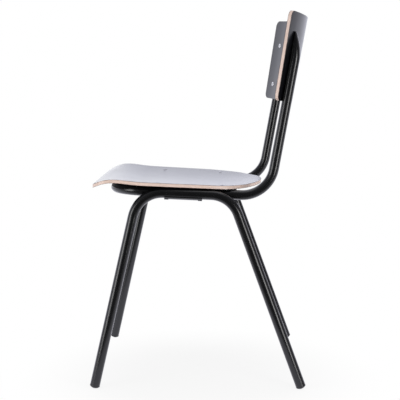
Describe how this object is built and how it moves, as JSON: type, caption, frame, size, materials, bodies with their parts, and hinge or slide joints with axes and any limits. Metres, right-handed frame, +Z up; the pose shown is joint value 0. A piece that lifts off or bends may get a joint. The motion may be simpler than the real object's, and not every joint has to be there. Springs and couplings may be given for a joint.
{
  "type": "stacking chair",
  "caption": "Stacking chair with a bent tube frame, a U-shaped seat tube that runs up into the backrest, leg loops at the sides, and a moulded plywood seat and curved backrest.",
  "frame": {"origin": "on the floor, under the middle of the chair", "axes": "+X to the sitter's left, +Y to the back, +Z up"},
  "size_m": [0.435, 0.4931, 0.8306],
  "materials": {
    "frame_paint": "satin black powder coat",
    "laminate": "satin slate grey laminate",
    "plywood": "clear lacquered beech edge",
    "glide_plastic": "moulded black",
    "pad_plastic": "moulded black",
    "rivet_metal": "bright",
    "pin_steel": "zinc plated"
  },
  "bodies": {
    "root": {"seat_back_tube": "frame_paint", "left_leg_loop": "frame_paint", "right_leg_loop": "frame_paint", "left_welds": "frame_paint", "right_welds": "frame_paint", "front_left_glide": "glide_plastic", "rear_left_glide": "glide_plastic", "front_right_glide": "glide_plastic", "rear_right_glide": "glide_plastic", "left_stacking_pad": "pad_plastic", "right_stacking_pad": "pad_plastic", "seat_under_laminate": "laminate", "seat_core": "plywood", "seat_top_laminate": "laminate", "back_rear_laminate": "laminate", "back_core": "plywood", "back_front_laminate": "laminate", "seat_rivets": "rivet_metal", "seat_rivet_pins": "pin_steel", "back_rivets": "rivet_metal", "back_rivet_pins": "pin_steel"}
  },
  "joints": []
}
